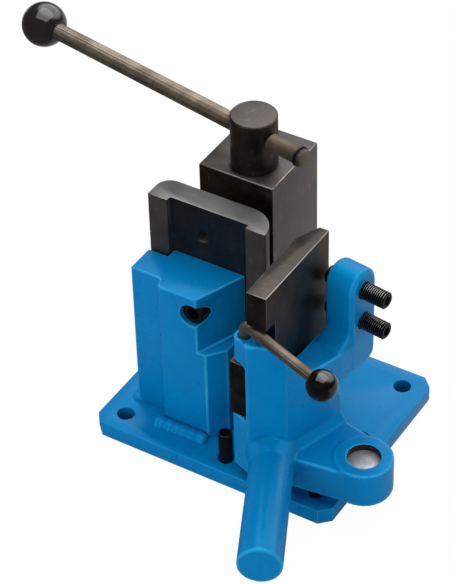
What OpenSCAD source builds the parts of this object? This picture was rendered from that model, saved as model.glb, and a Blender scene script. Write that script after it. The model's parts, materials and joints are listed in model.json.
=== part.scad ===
/* [Base plate] */
// Length of the base plate along X
base_l = 250; // [244:1:280]
// Depth of the base plate along Y
base_d = 204; // [200:1:230]
// Thickness of the base plate
base_t = 16; // [12:0.5:20]
// Corner cut of the base plate
base_cut = 10; // [2:0.5:12]
// Diameter of the fixing holes
fix_hole_d = 17; // [11:0.5:19]
// Distance of the fixing holes from the short edges
fix_inset_x = 23; // [19:0.5:26]
// Distance of the outer fixing holes from the long edges
fix_inset_y = 21.5; // [18:0.5:26]

/* [Upright and radius die] */
// Height of the upright above the base plate
upright_h = 161; // [145:1:175]
// Height of the shoulder that carries the die, above the base plate
shoulder_h = 100; // [98:1:110]
// Width of the die along X
die_w = 120.5; // [112:0.5:124]
// Depth of the die
die_d = 28; // [26:0.5:30]
// Height of the die
die_h = 120; // [110:1:140]
// Thickness of the die's web
web_t = 22.4; // [18:0.1:24]
// Width of the flanges at the two ends of the die
flange_w = 20; // [16:0.5:22]
// Bending radius at the die's right end
die_big_r = 28; // [16:0.5:30]
// Bending radius at the die's left end
die_small_r = 14; // [4:0.5:20]
// Diameter of the spare hole in the die's web
web_hole_d = 12; // [6:0.5:16]
// Thread diameter of the die screw
die_screw_d = 14; // [10:1:14]
// Diameter of the die screw's counterbore
counterbore_d = 23; // [22:0.5:26]
// Depth of the die screw's counterbore
counterbore_h = 18; // [16:0.5:24]

/* [Swing pivot] */
// Diameter of the pivot post
pivot_d = 36; // [30:0.5:38]
// Wall of the bush round the pivot post
arm_bush_t = 3; // [2:0.25:4]
// Outer diameter of the arm's eye
eye_d = 56; // [52:0.5:58]
// Gap below the arm, which the thrust ring fills
arm_lift = 16; // [12:0.5:20]
// Running clearance on a radius
run_gap = 0.03; // [0.02:0.01:0.08]
// Clearance between faces that slide past each other
face_gap = 0.3; // [0.3:0.05:0.6]

/* [Bending arm] */
// Height of the arm's floor, which carries the jaw
floor_h = 62; // [56:1:66]
// Height of the arm's tower above its floor
tower_h = 90; // [84:1:96]
// Height of the shelf beside the jaw, above the floor
shelf_h = 47; // [40:1:52]
// Height of the wall's underside above the floor
under_h = 14; // [4:1:24]
// Diameter of the lug
lug_d = 53; // [46:0.5:56]
// Height of the lug
lug_h = 36; // [30:1:44]
// Diameter of the lug's pin
lug_pin_d = 30; // [20:0.5:34]
// Depth of the lug pin's end below the lug's top
lug_pin_drop = 6; // [2:0.5:10]
// Diameter of the handle bar
handle_d = 40; // [30:0.5:44]
// Length of the handle bar in front of the arm
handle_l = 134; // [100:1:150]
// Radius of the lobe's rounded top
lobe_r = 17.8; // [14:0.2:20]
// Thickness of the lobe
lobe_t = 30.8; // [24:0.2:33]
// Width of the lobe's broken edges
lobe_edge = 3; // [1:0.5:5]
// Radius of the hollow between the lobe and the shelf
lobe_foot_r = 20; // [10:1:24]

/* [Bending jaw] */
// Thickness of the jaw plate
jaw_t = 20; // [17:0.5:21]
// Height of the jaw
jaw_h = 144; // [138:1:150]
// Clearance between the lock lever and the jaw's front nose above it
nose_gap = 3.3; // [1:0.1:6]
// Length of the jaw's front nose
nose_l = 15; // [6:0.5:18]
// Width of the jaw's toe under the bar
toe_w = 18; // [15:0.5:19]
// Height of the jaw's toe
toe_h = 60; // [50:1:61]
// Length of the relief at the jaw's back end
relief_l = 22.5; // [16:0.5:28]
// Depth of the relief at the jaw's back end
relief_d = 10.5; // [6:0.5:13]
// Diameter of the jaw screws
jaw_screw_d = 16; // [12:1:18]
// Length of the jaw screws
jaw_screw_l = 64; // [56:1:70]
// Height distance between the jaw screws
jaw_screw_pitch = 34.5; // [32:0.5:36]

/* [Jaw lock] */
// Diameter of the boss round the lock spindle
lock_boss_d = 19; // [17:0.5:20]
// Diameter of the lock spindle
spindle_d = 12; // [10:0.5:13]
// Diameter of the lock lever's rod
lock_rod_d = 10; // [7:0.5:10]
// Length of the lock lever from the spindle to the knob's centre
lock_lever_l = 102; // [85:1:115]
// Diameter of the lock lever's knob
lock_knob_d = 28; // [22:0.5:32]

/* [Clamp] */
// Width of the clamp block along X
block_w = 76.5; // [70:0.5:78]
// Depth of the clamp block along Y
block_d = 80; // [74:0.5:90]
// Height of the clamp block's top above the base plate
block_top = 229; // [224:1:240]
// Height of the pedestal under the clamp block
pedestal_h = 94; // [80:1:100]
// Gap between die and clamp block when it is clamped
bar_gap = 21; // [18:0.1:23]
// Diameter of the eccentric
ecc_d = 30; // [27:0.5:31]
// Offset of the eccentric from its shaft
ecc_throw = 5; // [3:0.25:5]
// Diameter of the eccentric shaft's journal
journal_d = 18; // [14:0.5:18]
// Wall of the bush round the journal
shaft_bush_t = 3; // [2:0.25:4]
// Diameter of the shaft's head
head_d = 43; // [42:0.5:48]
// Height of the shaft's head
head_h = 53; // [44:0.5:60]
// Width of the guide keys
key_w = 10; // [8:0.5:11]
// Diameter of the clamp lever's rod
lever_d = 16; // [12:0.5:18]
// Distance of the ball's centre from the shaft
lever_l = 265; // [200:1:300]
// Length of the clamp lever on the other side of the shaft
lever_stub = 60; // [50:1:70]
// Diameter of the clamp lever's ball
ball_d = 43; // [32:0.5:46]

/* [Stop] */
// Diameter of the stop pin
stop_d = 13; // [8:0.5:13]
// Height of the stop pin above the base plate
stop_h = 31; // [26:1:40]

/* [Hidden] */
$fn = 64;
eps = 0.01;
blue = "#0a78be";
black_steel = "#2b2928";
bright_steel = "#b9bcbe";
rod_steel = "#6e6256";
bronze = "#b08a4e";
black_plastic = "#101012";

// Die: the pivot lies where the die's right and back faces would meet
die_back_y = 4;
die_right_x = 17.5;
pivot = [die_right_x, die_back_y];
die_left_x = die_right_x - die_w;
die_front_y = die_back_y - die_d;
web_front_y = die_back_y - web_t;
pocket_left_x = die_left_x + flange_w;
pocket_right_x = die_right_x - flange_w;
shoulder_z = base_t + shoulder_h;
upright_z = base_t + upright_h;
die_screw_x = -32.5;
die_screw_drop = 20.5;
die_screw_z = upright_z - die_screw_drop;
die_screw_bite = 14;
web_hole_x = -50;
web_hole_rise = 26;
web_hole_z = upright_z + web_hole_rise;

// Upright, in plan
wing_x = -101.7;
wing_front_y = -58.8;
wing_back_y = die_front_y - 5.3;
front_y = -70;
front_x = -68.3;
blend_r = 5.6;
head_front_x = -27;
tongue_left_x = pocket_left_x + 2;
tongue_right_x = pocket_right_x - 4;
body_front_x = -18.5;
body_right_x = -5;
body_back_x = -15;
body_cut = 16;

// Arm: heights, and the frame of the casting, which is turned about the pivot
arm_turn = -7.5;
arm_z = base_t + arm_lift;
floor_z = arm_z + floor_h;
tower_z = floor_z + tower_h;
shelf_z = floor_z + shelf_h;
under_z = floor_z + under_h;
eye_bore_r = pivot_d / 2 + run_gap + arm_bush_t;
post_top_z = floor_z + face_gap;
cap_washer_d = eye_d - 12;
cap_washer_t = 4;
cap_screw_d = 12;
handle_angle = -64.2;
handle_share = 0.625;
handle_rise = 26;
handle_z = arm_z + handle_rise;
pad_sunk = 8;
pad_d = handle_d + 11;
pad_l = 14;
handle_room = 0.5;
toe_corner = [27, -98.5];
knee = [48, -107];
heel = [79, -93];
shin = [86, -75];
hip = [99, -32.6];
toe_back = [26, -45];
handle_root = knee + handle_share * (heel - knee);
wall_u = 87.4;
wall_v = 20.5;
lobe_v = 5.5;
lug = [142.3, -67.6];
lug_step = 2;
plate_front = [86, -100.5];

// Jaw in the arm
jaw_reach = 26.5;
jaw_in_x = die_right_x + jaw_reach;
jaw_out_x = jaw_in_x + jaw_t;
jaw_front_y = -100;
stem_front_y = jaw_front_y + nose_l;
jaw_back_y = 7.5;
jaw_z = floor_z + face_gap;
jaw_top_z = jaw_z + jaw_h;
toe_x = jaw_in_x - toe_w;
toe_back_y = die_front_y - 6;
toe_front_y = jaw_front_y - 1;
pocket_front_x = jaw_out_x + 0.8;
pocket_back_x = jaw_out_x + 4.5;
pocket_y = stem_front_y - 1.5;
screw_rise = 53.5;
screw_top_z = shelf_z + screw_rise;
lobe_z = screw_top_z + 2.5;
lobe_foot_z = under_z + 2;
// Distance of the jaw's outer face from the pivot, along the screws
jaw_face_u = (jaw_out_x - pivot[0]) / cos(arm_turn) + lobe_v * tan(arm_turn) + 1.1;

// Jaw lock
lock_in = 7;
lock_back = 8.5;
lock = [jaw_in_x - lock_in, jaw_front_y + lock_back];
lock_boss_z = jaw_z + toe_h + 1.5;
lock_boss_h = tower_z - 2 - lock_boss_z;
lock_boss_top = lock_boss_z + lock_boss_h;
spindle_bite = 14;
spindle_low_z = floor_z - spindle_bite;
spindle_top_z = lock_boss_top - 3;
rod_sunk = 14;
lock_rod_rise = 12;
lock_rod_z = lock_boss_top + lock_rod_rise;
nose_z = lock_rod_z + lock_rod_d / 2 + nose_gap;
lock_bend_r = 7;
lock_dir = -19.9;
knob_flat = 2.5;

// Clamp
block_right_x = -3.5;
block_cx = block_right_x - block_w / 2;
block_front_y = die_back_y + bar_gap;
block_z = base_t + block_top;
pedestal_z = base_t + pedestal_h;
pedestal_w = block_w - 8;
pedestal_x = block_cx - pedestal_w / 2;
pedestal_y = block_front_y + 5;
pedestal_d = block_d - 10;
slide_z = pedestal_z + face_gap;
clamp_turn = 60;
ecc_angle = 180 + clamp_turn / 2;
shaft_in_x = 4.25;
shaft_in_y = 26.3;
shaft = [block_cx + shaft_in_x, block_front_y + shaft_in_y];
ecc_at = shaft + ecc_throw * [cos(ecc_angle), sin(ecc_angle)];
ecc_far_x = shaft[0] - ecc_throw;
ecc_bore_r = ecc_d / 2 + face_gap;
bush_h = 44;
journal_l = 70;
groove_drop = 56;
groove_h = 8;
groove_d = journal_d - 4;
lock_screw_d = 8;
head_z = block_z + face_gap;
lever_rise = 32.7;
lever_z = head_z + lever_rise;
lever_angle = 169.1;
ring_at = 5.5;
ring_t = 1.5;
ring_d = lever_d + 3.4;
ring_core_d = lever_d - 2;
ball_bite = 16;
ball_flat = 3;
key_h = 11;
key_sunk = 6;
key_gap = 0.3;
key_inset = 9;
key_l = pedestal_d - 8;
key_screw_d = 5;

// Stop
stop = [9, -84];
stop_cut = 2;

// Point of the arm's own frame, in plan
function arm_at(u, v) =
    pivot + u * [cos(arm_turn), sin(arm_turn)] + v * [-sin(arm_turn), cos(arm_turn)];
// Point where the line from p touches the circle round c; side is 1 or -1
function touch(c, r, p, side) =
    let (v = p - c, a = atan2(v[1], v[0]) + side * acos(r / norm(v)))
    c + r * [cos(a), sin(a)];
function arc(c, r, from, to, n = 8) =
    [for (i = [0 : n]) let (a = from + (to - from) * i / n) c + r * [cos(a), sin(a)]];
function key_x(side) = pedestal_x + pedestal_w / 2 + side * (pedestal_w / 2 - key_inset);

// A round bar along +Z with both end edges broken
module bar(d, h, cut = 0.8) {
    rotate_extrude()
        polygon([[0, 0], [d / 2 - cut, 0], [d / 2, cut], [d / 2, h - cut], [d / 2 - cut, h], [0, h]]);
}

// A ring along +Z
module ring(d, bore, h) {
    difference() {
        cylinder(d = d, h = h);
        translate([0, 0, -1])
            cylinder(d = bore, h = h + 2);
    }
}

// A hexagon socket screw with its seat at z = 0 and its shank along -Z
module socket_screw(d, l, head_d, head_h) {
    difference() {
        union() {
            bar(head_d, head_h);
            translate([0, 0, -l])
                bar(d, l + 1);
        }
        translate([0, 0, head_h * 0.4])
            cylinder(d = d * 0.93, h = head_h, $fn = 6);
    }
}

// A ball with a flat neck towards -Z and a bore for its rod, centred at the origin
module ball_knob(d, bore, bite, flat) {
    neck = d / 2 - flat;
    difference() {
        rotate_extrude()
            intersection() {
                circle(d = d);
                translate([0, -neck])
                    square([d, d]);
            }
        translate([0, 0, -d])
            cylinder(d = bore, h = d - neck + bite);
    }
}

module base_plate() {
    x = base_l / 2;
    y = base_d / 2;
    c = base_cut;
    fix_x = x - fix_inset_x;
    fix_y = y - fix_inset_y;
    color(blue)
        difference() {
            linear_extrude(base_t)
                polygon([
                    [c - x, -y], [x - c, -y], [x, c - y], [x, y - c],
                    [x - c, y], [c - x, y], [-x, y - c], [-x, c - y]
                ]);
            for (x = [-fix_x, fix_x], y = [-fix_y, 0, fix_y])
                translate([x, y, -1])
                    cylinder(d = fix_hole_d, h = base_t + 2);
            translate([pivot[0], pivot[1], -1])
                cylinder(d = pivot_d, h = base_t + 2);
            translate([stop[0], stop[1], -1])
                cylinder(d = stop_d, h = base_t + 2);
            translate([stop[0], stop[1], base_t - stop_cut])
                cylinder(d1 = stop_d, d2 = stop_d + 2 * stop_cut, h = stop_cut + eps);
        }
}

// Left outline that body and head of the upright share, from the front to the tongue
function upright_left() = concat(
    arc([front_x + blend_r, front_y + blend_r], blend_r, 270, 180),
    arc([front_x - blend_r, wing_front_y - blend_r], blend_r, 0, 90),
    [[wing_x, wing_front_y], [wing_x, wing_back_y], [tongue_left_x, wing_back_y]]
);

module upright() {
    color(blue)
        difference() {
            union() {
                translate([0, 0, base_t])
                    linear_extrude(shoulder_h)
                        polygon(concat(upright_left(), [
                            [tongue_left_x, die_back_y], [body_back_x, die_back_y],
                            [body_back_x, web_front_y], [body_right_x, web_front_y],
                            [body_right_x, front_y + body_cut], [body_front_x, front_y]
                        ]));
                translate([0, 0, shoulder_z - 1])
                    linear_extrude(upright_h - shoulder_h + 1)
                        polygon(concat(upright_left(), [
                            [tongue_left_x, web_front_y], [tongue_right_x, web_front_y],
                            [head_front_x, front_y]
                        ]));
            }
            translate([die_screw_x, front_y + counterbore_h, die_screw_z])
                rotate([90, 0, 0])
                    cylinder(d = counterbore_d, h = counterbore_h + 1);
            translate([die_screw_x, die_back_y, die_screw_z])
                rotate([90, 0, 0])
                    cylinder(d = die_screw_d + 1, h = base_d);
        }
}

module die_outline() {
    big = [die_right_x - die_big_r, die_back_y - die_big_r];
    small = [die_left_x + die_small_r, die_back_y - die_small_r];
    difference() {
        union() {
            translate(big)
                intersection() {
                    circle(r = die_big_r);
                    square(die_big_r);
                }
            translate(small)
                intersection() {
                    circle(r = die_small_r);
                    translate([-die_small_r, 0])
                        square(die_small_r);
                }
            polygon([
                [die_left_x, die_front_y], [die_right_x, die_front_y], [die_right_x, big[1]], big,
                [big[0], die_back_y], [small[0], die_back_y], small, [die_left_x, small[1]]
            ]);
        }
        translate([pocket_left_x, die_front_y - 1])
            square([pocket_right_x - pocket_left_x, die_d - web_t + 1]);
    }
}

module radius_die() {
    color(black_steel)
        difference() {
            translate([0, 0, shoulder_z])
                linear_extrude(die_h)
                    die_outline();
            translate([web_hole_x, die_back_y + 1, web_hole_z])
                rotate([90, 0, 0])
                    cylinder(d = web_hole_d, h = web_t + 2);
            translate([die_screw_x, web_front_y + die_screw_bite, die_screw_z])
                rotate([90, 0, 0])
                    cylinder(d = die_screw_d, h = die_screw_bite + 1);
        }
}

module die_screw() {
    seat_y = front_y + counterbore_h;
    color(black_steel)
        translate([die_screw_x, seat_y, die_screw_z])
            rotate([90, 0, 0])
                socket_screw(die_screw_d, web_front_y - seat_y + die_screw_bite, die_screw_d * 1.5, die_screw_d);
}

module clamp_pedestal() {
    color(blue)
        difference() {
            translate([pedestal_x, pedestal_y, base_t])
                cube([pedestal_w, pedestal_d, pedestal_h]);
            translate([shaft[0], shaft[1], pedestal_z - journal_l - 2])
                cylinder(d = journal_d + 2 * run_gap, h = journal_l);
            translate([shaft[0], shaft[1], pedestal_z - bush_h])
                cylinder(d = journal_d + 2 * run_gap + 2 * shaft_bush_t, h = bush_h + 1);
            translate([shaft[0], pedestal_y + pedestal_d + 1, pedestal_z - groove_drop])
                rotate([90, 0, 0])
                    cylinder(d = lock_screw_d, h = pedestal_y + pedestal_d + 1 - shaft[1]);
            for (side = [-1, 1])
                translate([key_x(side) - key_w / 2, pedestal_y - 1, pedestal_z - key_sunk])
                    cube([key_w, pedestal_d + 2, key_h]);
            key_screw_holes(key_screw_d);
        }
}

// The four places of the key screws, on the keys' top faces
module at_key_screws() {
    for (side = [-1, 1], end = [-1, 1])
        translate([key_x(side), pedestal_y + pedestal_d / 2 + end * key_l / 3, pedestal_z - key_sunk + key_h])
            children();
}

module key_screw_holes(d) {
    at_key_screws()
        translate([0, 0, -key_h - 2 * key_screw_d])
            cylinder(d = d, h = key_h + 3 * key_screw_d);
}

module guide_keys() {
    color(bright_steel)
        difference() {
            for (side = [-1, 1])
                translate([key_x(side) - key_w / 2, pedestal_y + (pedestal_d - key_l) / 2, pedestal_z - key_sunk])
                    cube([key_w, key_l, key_h]);
            key_screw_holes(key_screw_d + 0.5);
            at_key_screws()
                translate([0, 0, -key_screw_d - 0.5])
                    cylinder(d = key_screw_d * 1.6 + 0.5, h = 2 * key_screw_d);
        }
}

module key_screws() {
    color(black_steel)
        at_key_screws()
            translate([0, 0, -key_screw_d - 0.5])
                socket_screw(key_screw_d, key_h, key_screw_d * 1.6, key_screw_d);
}

module shaft_bush() {
    color(bronze)
        translate([shaft[0], shaft[1], pedestal_z - bush_h])
            ring(journal_d + 2 * run_gap + 2 * shaft_bush_t, journal_d + 2 * run_gap, bush_h);
}

module shaft_lock_screw() {
    tip_y = shaft[1] + groove_d / 2 + face_gap;
    back_y = pedestal_y + pedestal_d;
    color(black_steel)
        translate([shaft[0], back_y, pedestal_z - groove_drop])
            rotate([90, 0, 0])
                difference() {
                    bar(lock_screw_d, back_y - tip_y);
                    translate([0, 0, -1])
                        cylinder(d = lock_screw_d * 0.58, h = lock_screw_d / 2 + 1, $fn = 6);
                }
}

module pivot_post() {
    color(bright_steel)
        translate([pivot[0], pivot[1], 0])
            difference() {
                cylinder(d = pivot_d, h = post_top_z);
                translate([0, 0, post_top_z - 2 * cap_screw_d])
                    cylinder(d = cap_screw_d, h = 2 * cap_screw_d + 1);
            }
}

module thrust_ring() {
    color(bright_steel)
        translate([pivot[0], pivot[1], base_t])
            ring(eye_d, pivot_d + 0.2, arm_lift - face_gap);
}

module cap_washer() {
    color(bright_steel)
        translate([pivot[0], pivot[1], post_top_z])
            ring(cap_washer_d, cap_screw_d + 1, cap_washer_t);
}

module cap_screw() {
    color(black_steel)
        translate([pivot[0], pivot[1], post_top_z + cap_washer_t])
            socket_screw(cap_screw_d, 2 * cap_screw_d, cap_screw_d * 1.5, cap_screw_d * 0.8);
}

module stop_pin() {
    color(black_steel)
        translate([stop[0], stop[1], 0])
            bar(stop_d, base_t + stop_h, 1);
}

module clamp_block() {
    color(black_steel)
        difference() {
            translate([block_right_x - block_w, block_front_y, slide_z])
                cube([block_w, block_d, block_z - slide_z]);
            for (x = [ecc_at[0], ecc_far_x])
                translate([x, ecc_at[1], slide_z - 1])
                    cylinder(r = ecc_bore_r, h = block_z);
            translate([ecc_far_x, ecc_at[1] - ecc_bore_r, slide_z - 1])
                cube([ecc_at[0] - ecc_far_x, 2 * ecc_bore_r, block_z]);
            for (side = [-1, 1])
                translate([key_x(side) - key_w / 2 - key_gap, block_front_y - 1, slide_z - 1])
                    cube([key_w + 2 * key_gap, block_d + 2, key_h - key_sunk + 1 + face_gap]);
        }
}

module eccentric_shaft() {
    low_z = pedestal_z - journal_l;
    groove_z = pedestal_z - groove_drop - groove_h / 2 - face_gap;
    color(black_steel)
        difference() {
            union() {
                translate([shaft[0], shaft[1], low_z])
                    cylinder(d = journal_d, h = slide_z - low_z + 1);
                translate([ecc_at[0], ecc_at[1], slide_z])
                    cylinder(d = ecc_d, h = head_z - slide_z + 1);
                translate([shaft[0], shaft[1], head_z])
                    bar(head_d, head_h, 1.2);
            }
            translate([shaft[0], shaft[1], lever_z])
                rotate([0, 90, lever_angle])
                    cylinder(d = lever_d + 2 * run_gap, h = 2 * head_d, center = true);
            translate([shaft[0], shaft[1], groove_z])
                ring(journal_d + 2, groove_d, groove_h + 2 * face_gap);
        }
}

// Turns +Z into the clamp lever's direction, from the shaft towards the ball
module along_lever() {
    translate([shaft[0], shaft[1], lever_z])
        rotate([0, 90, lever_angle])
            children();
}

module clamp_lever() {
    rod_l = lever_stub + lever_l - ball_d / 2 + ball_flat + ball_bite;
    color(rod_steel)
        along_lever()
            difference() {
                translate([0, 0, -lever_stub])
                    bar(lever_d, rod_l, 0.7);
                translate([0, 0, ring_at - lever_stub])
                    ring(lever_d + 2, ring_core_d, ring_t);
            }
}

module lever_end_ring() {
    color(black_steel)
        along_lever()
            translate([0, 0, ring_at - lever_stub])
                ring(ring_d, ring_core_d, ring_t);
}

module lever_ball() {
    color(black_plastic)
        along_lever()
            translate([0, 0, lever_l])
                ball_knob(ball_d, lever_d, ball_bite, ball_flat);
}

module arm_floor_outline() {
    polygon([
        toe_corner, knee, heel, shin, hip, touch(pivot, eye_d / 2 - 1, hip, 1), pivot,
        touch(pivot, eye_d / 2 - 1, toe_back, -1), toe_back
    ]);
    translate(pivot)
        circle(d = eye_d);
}

module lug_outline() {
    polygon([
        heel, plate_front, touch(lug, lug_d / 2 - 1, plate_front, 1), lug,
        touch(lug, lug_d / 2 - 1, hip, -1), hip, shin
    ]);
}

// Tower, wall and shelf in plan, round the jaw's pocket
module tower_outline() {
    polygon([
        knee, heel, shin, hip, arm_at(wall_u - 0.8, wall_v), arm_at(pocket_back_x - pivot[0] - 2, wall_v),
        [pocket_back_x, jaw_back_y], [pocket_front_x, pocket_y], [jaw_in_x + 0.5, pocket_y],
        [jaw_in_x + 0.5, knee[1] + 1.5]
    ]);
}

// Tower, ramp and shelf from the side, as [y, z]
module tower_side() {
    ramp_r = tower_z - shelf_z;
    ramp_y = -50;
    far_y = pivot[1] + wall_v + 1;
    difference() {
        polygon([
            [knee[1] - 1, floor_z - 1], [knee[1] - 1, tower_z], [ramp_y, tower_z], [ramp_y, shelf_z],
            [far_y, shelf_z], [far_y, under_z], [hip[1], under_z], [hip[1], floor_z - 1]
        ]);
        translate([ramp_y, tower_z])
            circle(r = ramp_r);
    }
}

// Turns the arm's own frame into place
module in_arm() {
    translate([pivot[0], pivot[1], 0])
        rotate([0, 0, arm_turn])
            children();
}

// Lobe in plan, as [along, across]
module lobe_plan() {
    polygon([
        [0, lobe_edge - lobe_r], [lobe_edge, -lobe_r], [lobe_t - lobe_edge, -lobe_r], [lobe_t, lobe_edge - lobe_r],
        [lobe_t, lobe_r - lobe_edge], [lobe_t - lobe_edge, lobe_r], [lobe_edge, lobe_r], [0, lobe_r - lobe_edge]
    ]);
}

// Hollow round that leads from the shelf up to the lobe
module lobe_foot() {
    sunk = 0.4;
    difference() {
        translate([0, 0, shelf_z - 1])
            linear_extrude(lobe_foot_r + 1)
                polygon([
                    [lobe_edge, 1 - lobe_r], [1, -lobe_r - lobe_foot_r],
                    [lobe_t - lobe_edge - 1, -lobe_r - lobe_foot_r], [lobe_t - lobe_edge, 1 - lobe_r]
                ]);
        translate([-1, sunk - lobe_r - lobe_foot_r, shelf_z + lobe_foot_r - sunk])
            rotate([0, 90, 0])
                cylinder(r = lobe_foot_r, h = lobe_t + 2);
    }
}

module arm_lobe() {
    in_arm()
        translate([wall_u - lobe_t, lobe_v, 0]) {
            translate([0, 0, lobe_z])
                rotate([0, 90, 0])
                    bar(2 * lobe_r, lobe_t, lobe_edge);
            translate([0, 0, lobe_foot_z])
                linear_extrude(lobe_z - lobe_foot_z)
                    lobe_plan();
            lobe_foot();
        }
}

module lock_boss() {
    translate([lock[0], lock[1], lock_boss_z])
        cylinder(d = lock_boss_d, h = lock_boss_h);
    translate([0, 0, lock_boss_z])
        linear_extrude(lock_boss_h)
            polygon([
                [lock[0], lock[1] - lock_boss_d / 2], knee, [jaw_in_x + 1, pocket_y], [lock[0], pocket_y]
            ]);
}

// Turns +Z into the handle's direction, from the middle of the arm's front face
module along_handle() {
    translate([handle_root[0], handle_root[1], handle_z])
        rotate([0, 90, handle_angle])
            children();
}

module bending_arm() {
    color(blue)
        difference() {
            union() {
                translate([0, 0, arm_z])
                    linear_extrude(floor_h)
                        arm_floor_outline();
                translate([0, 0, arm_z])
                    linear_extrude(lug_h - lug_step)
                        lug_outline();
                translate([lug[0], lug[1], arm_z])
                    cylinder(d = lug_d, h = lug_h);
                intersection() {
                    translate([0, 0, floor_z - 1])
                        linear_extrude(tower_h + 1)
                            tower_outline();
                    rotate([90, 0, 90])
                        linear_extrude(base_l)
                            tower_side();
                }
                arm_lobe();
                lock_boss();
                along_handle()
                    translate([0, 0, -pad_sunk])
                        cylinder(d1 = pad_d, d2 = handle_d + 2 * handle_room, h = pad_sunk + pad_l);
            }
            translate([pivot[0], pivot[1], arm_z - 1])
                cylinder(r = eye_bore_r, h = floor_h + 2);
            translate([lug[0], lug[1], arm_z - 1])
                cylinder(d = lug_pin_d, h = lug_h + 2);
            translate([lock[0], lock[1], spindle_low_z - 1])
                cylinder(d = spindle_d + 2 * run_gap, h = tower_z);
            along_handle()
                translate([0, 0, pad_l])
                    cylinder(d = handle_d + 2 * handle_room, h = handle_l);
            at_jaw_screw(screw_top_z)
                cylinder(d = jaw_screw_d + 2 * run_gap, h = base_l);
            at_jaw_screw(screw_top_z - jaw_screw_pitch)
                cylinder(d = jaw_screw_d + 2 * run_gap, h = base_l);
        }
}

module arm_bush() {
    color(bronze)
        translate([pivot[0], pivot[1], arm_z])
            ring(2 * eye_bore_r, pivot_d + 2 * run_gap, floor_h);
}

module handle_bar() {
    color(blue)
        along_handle()
            translate([0, 0, pad_l])
                bar(handle_d, handle_l - pad_l, 1);
}

module lug_pin() {
    color(bright_steel)
        translate([lug[0], lug[1], arm_z])
            bar(lug_pin_d, lug_h - lug_pin_drop, 0.5);
}

module bending_jaw() {
    color(black_steel)
        difference() {
            union() {
                translate([0, 0, jaw_z])
                    linear_extrude(jaw_h)
                        polygon([
                            [jaw_in_x, stem_front_y], [jaw_out_x, stem_front_y], [jaw_out_x, jaw_back_y],
                            [jaw_in_x + relief_d, jaw_back_y], [jaw_in_x, jaw_back_y - relief_l]
                        ]);
                translate([jaw_in_x, jaw_front_y, nose_z])
                    cube([jaw_t, nose_l + 1, jaw_top_z - nose_z]);
                translate([toe_x, stem_front_y, jaw_z])
                    cube([toe_w + 1, toe_back_y - stem_front_y, toe_h]);
                translate([toe_x, toe_front_y, jaw_z])
                    cube([toe_w, stem_front_y - toe_front_y + 1, toe_h]);
            }
            translate([lock[0], lock[1], jaw_z - 1])
                cylinder(d = spindle_d + 2 * run_gap, h = toe_h + 2);
        }
}

// Places +Z along a jaw screw, from its tip at the jaw outwards
module at_jaw_screw(z) {
    in_arm()
        translate([jaw_face_u + face_gap, lobe_v, z])
            rotate([0, 90, 0])
                children();
}

module jaw_screw(z) {
    socket = jaw_screw_d / 2;
    color(black_steel)
        at_jaw_screw(z)
            difference() {
                bar(jaw_screw_d, jaw_screw_l, 1.5);
                translate([0, 0, jaw_screw_l - socket])
                    cylinder(d = socket * 1.155, h = socket + 1, $fn = 6);
            }
}

module jaw_screw_upper() {
    jaw_screw(screw_top_z);
}

module jaw_screw_lower() {
    jaw_screw(screw_top_z - jaw_screw_pitch);
}

module lock_spindle() {
    color(black_steel)
        translate([lock[0], lock[1], spindle_low_z])
            difference() {
                cylinder(d = spindle_d, h = spindle_top_z - spindle_low_z);
                translate([0, 0, spindle_top_z - spindle_low_z - rod_sunk])
                    cylinder(d = lock_rod_d, h = rod_sunk + 1);
            }
}

// Turns +X into the lock lever's direction
module in_lock_lever() {
    translate([lock[0], lock[1], 0])
        rotate([0, 0, lock_dir])
            children();
}

module lock_lever() {
    low_z = spindle_top_z - rod_sunk;
    bend_z = lock_rod_z - lock_bend_r;
    run = lock_lever_l - lock_bend_r - lock_knob_d / 2 + knob_flat + lock_rod_d;
    color(rod_steel)
        in_lock_lever() {
            translate([0, 0, low_z])
                cylinder(d = lock_rod_d, h = bend_z - low_z);
            translate([lock_bend_r, 0, bend_z])
                rotate([90, 0, 0])
                    rotate([0, 0, 90])
                        rotate_extrude(angle = 90)
                            translate([lock_bend_r, 0])
                                circle(d = lock_rod_d);
            translate([lock_bend_r, 0, lock_rod_z])
                rotate([0, 90, 0])
                    cylinder(d = lock_rod_d, h = run);
        }
}

module lock_knob() {
    color(black_plastic)
        in_lock_lever()
            translate([lock_lever_l, 0, lock_rod_z])
                rotate([0, 90, 0])
                    ball_knob(lock_knob_d, lock_rod_d, lock_rod_d, knob_flat);
}

base_plate();
upright();
radius_die();
die_screw();
clamp_pedestal();
guide_keys();
key_screws();
shaft_bush();
shaft_lock_screw();
pivot_post();
thrust_ring();
cap_washer();
cap_screw();
stop_pin();
clamp_block();
eccentric_shaft();
clamp_lever();
lever_end_ring();
lever_ball();
bending_arm();
arm_bush();
handle_bar();
lug_pin();
bending_jaw();
jaw_screw_upper();
jaw_screw_lower();
lock_spindle();
lock_lever();
lock_knob();
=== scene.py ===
"""The dressed model of an eccentric bar bender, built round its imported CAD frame."""

import json
import logging
import math
from contextlib import contextmanager
from dataclasses import dataclass, replace
from enum import Enum
from typing import Callable, ClassVar, Iterator, Sequence

import bpy
import numpy as np
from mathutils import Matrix, Vector


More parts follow.
